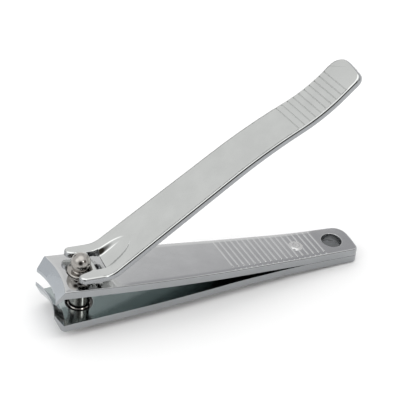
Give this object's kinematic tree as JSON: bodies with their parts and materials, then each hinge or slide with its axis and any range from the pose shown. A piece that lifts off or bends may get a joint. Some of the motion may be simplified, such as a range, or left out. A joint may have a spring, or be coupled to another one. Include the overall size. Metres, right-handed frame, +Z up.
{
  "type": "lever toenail clipper",
  "caption": "Lever nail clipper with concave cutting jaws on two riveted spring plates, a ball-headed pivot pin and a forked swivelling lever.",
  "frame": {"origin": "bottom centre of the box around the whole clipper with the jaws open and the lever raised", "axes": "+X runs from the jaws to the tail, +Y across the plates, +Z up towards the lever"},
  "size_m": [0.079, 0.0136, 0.0574],
  "materials": {
    "plate_chrome": "polished",
    "lever_chrome": "polished",
    "pin_chrome": "polished",
    "rivet_steel": "polished"
  },
  "bodies": {
    "base": {"lower_jaw_plate": "plate_chrome", "upper_tail_plate": "plate_chrome", "tail_rivet": "rivet_steel"},
    "upper_jaw": {"upper_jaw_plate": "plate_chrome"},
    "pin": {"pivot_pin": "pin_chrome"},
    "lever": {"lever": "lever_chrome"}
  },
  "joints": [
    {"name": "pin_swivel", "type": "hinge", "parent": "base", "child": "pin", "pos_m": [-0.03106, 0, 0.00701], "axis": [0, 0, 1], "range_deg": [-28, 28]},
    {"name": "lever_press", "type": "hinge", "parent": "pin", "child": "lever", "pos_m": [-0.02886, 0, 0.01499], "axis": [0, 1, 0], "range_deg": [0, 34], "stiffness_Nm_per_rad": 0.2, "springref_deg": -8.59},
    {"name": "jaw_close", "type": "hinge", "parent": "base", "child": "upper_jaw", "pos_m": [0.01784, 0, 0.00418], "axis": [0, -1, 0], "range_deg": [0, 2.96]}
  ],
  "couplings": [
    {"joint": "jaw_close", "follows": "lever_press", "ratio": 0.08676}
  ]
}
